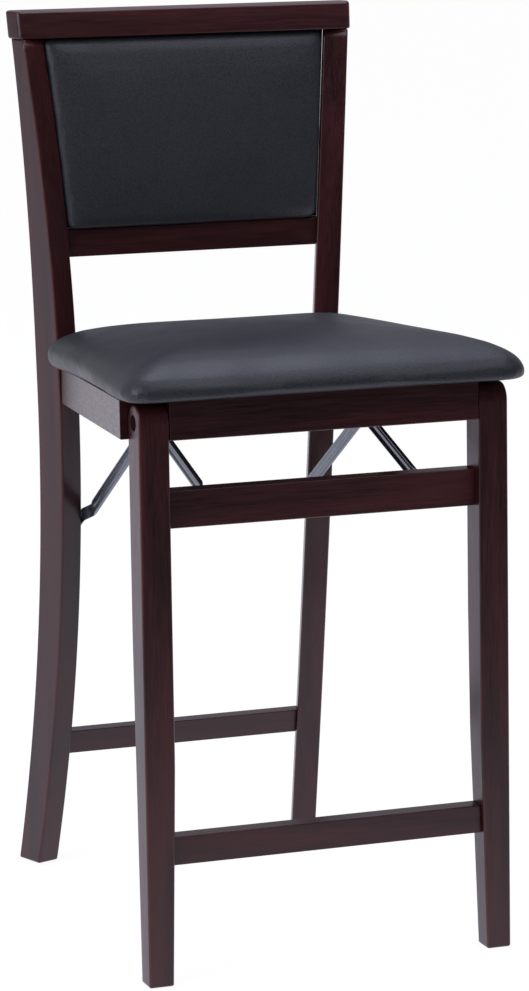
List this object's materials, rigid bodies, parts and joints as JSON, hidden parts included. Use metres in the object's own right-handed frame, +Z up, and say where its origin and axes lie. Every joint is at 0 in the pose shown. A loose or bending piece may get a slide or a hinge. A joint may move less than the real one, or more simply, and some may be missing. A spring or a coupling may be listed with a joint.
{
  "type": "folding counter stool",
  "caption": "Folding counter stool in dark stained wood with sabre back legs, a padded seat and back, a footrest rail and steel spreader braces.",
  "frame": {"origin": "on the floor, in the middle of the footprint, open as in use", "axes": "+X to the right seen from the front, +Y to the back, +Z up; the sitter faces -Y"},
  "size_m": [0.4314, 0.5042, 0.94],
  "materials": {
    "wood": "espresso stain under a satin clear coat",
    "vinyl": "charcoal vinyl with a fine pebble grain",
    "steel": "gunmetal coat, low gloss",
    "plywood": "plywood with an espresso stain, matt",
    "dowel": "unfinished beech"
  },
  "bodies": {
    "front_frame": {"footrest_dowel_left": "dowel", "footrest_dowel_right": "dowel", "footrest_rail": "wood", "front_leg_left": "wood", "front_leg_right": "wood", "pivot_bolt_left": "steel", "pivot_bolt_right": "steel", "stretcher_dowel_left": "dowel", "stretcher_dowel_right": "dowel", "stretcher_lug_left": "steel", "stretcher_lug_right": "steel", "stretcher_pin_left": "steel", "stretcher_pin_right": "steel", "upper_stretcher": "wood"},
    "seat": {"front_apron": "wood", "link_bracket_left": "steel", "link_bracket_right": "steel", "link_seat_pin_left": "steel", "link_seat_pin_right": "steel", "pivot_block_left": "wood", "pivot_block_right": "wood", "seat_batten": "wood", "seat_board": "plywood", "seat_cushion": "vinyl", "side_rail_left": "wood", "side_rail_right": "wood"},
    "seat_links": {"seat_link_left": "steel", "seat_link_right": "steel"},
    "back_frame": {"back_leg_left": "wood", "back_leg_right": "wood", "back_pad": "vinyl", "back_pad_board": "plywood", "back_rail_dowel_left": "dowel", "back_rail_dowel_right": "dowel", "brace_screw_left": "steel", "brace_screw_right": "steel", "crest_rail": "wood", "cross_rail_dowel_left": "dowel", "cross_rail_dowel_right": "dowel", "link_back_pin_left": "steel", "link_back_pin_right": "steel", "link_lug_left": "steel", "link_lug_right": "steel", "lower_back_rail": "wood", "rear_cross_rail": "wood", "rear_stretcher": "wood", "rear_stretcher_dowel_left": "dowel", "rear_stretcher_dowel_right": "dowel"},
    "rear_braces": {"rear_brace_left": "steel", "rear_brace_right": "steel", "rear_rivet_left": "steel", "rear_rivet_right": "steel"},
    "front_braces": {"front_brace_left": "steel", "front_brace_right": "steel", "front_rivet_left": "steel", "front_rivet_right": "steel"}
  },
  "joints": [
    {"name": "seat_fold", "type": "hinge", "parent": "front_frame", "child": "seat", "pos_m": [0, -0.2112, 0.5679], "axis": [1, 0, 0], "range_deg": [0, 85]},
    {"name": "link_turn", "type": "hinge", "parent": "seat", "child": "seat_links", "pos_m": [0, -0.0452, 0.5508], "axis": [-1, 0, 0], "range_deg": [0, 170.1]},
    {"name": "back_fold", "type": "hinge", "parent": "seat_links", "child": "back_frame", "pos_m": [0, 0.1328, 0.5559], "axis": [1, 0, 0], "range_deg": [0, 85.1]},
    {"name": "rear_brace_turn", "type": "hinge", "parent": "back_frame", "child": "rear_braces", "pos_m": [0, 0.1648, 0.3939], "axis": [-1, 0, 0], "range_deg": [0, 49.7]},
    {"name": "front_brace_turn", "type": "hinge", "parent": "front_frame", "child": "front_braces", "pos_m": [0, -0.1903, 0.4869], "axis": [1, 0, 0], "range_deg": [0, 60]}
  ],
  "couplings": [
    {"joint": "link_turn", "follows": "seat_fold", "ratio": 2},
    {"joint": "back_fold", "follows": "seat_fold", "ratio": 1},
    {"joint": "rear_brace_turn", "follows": "seat_fold", "ratio": 0.58333},
    {"joint": "front_brace_turn", "follows": "seat_fold", "ratio": 0.70511}
  ]
}
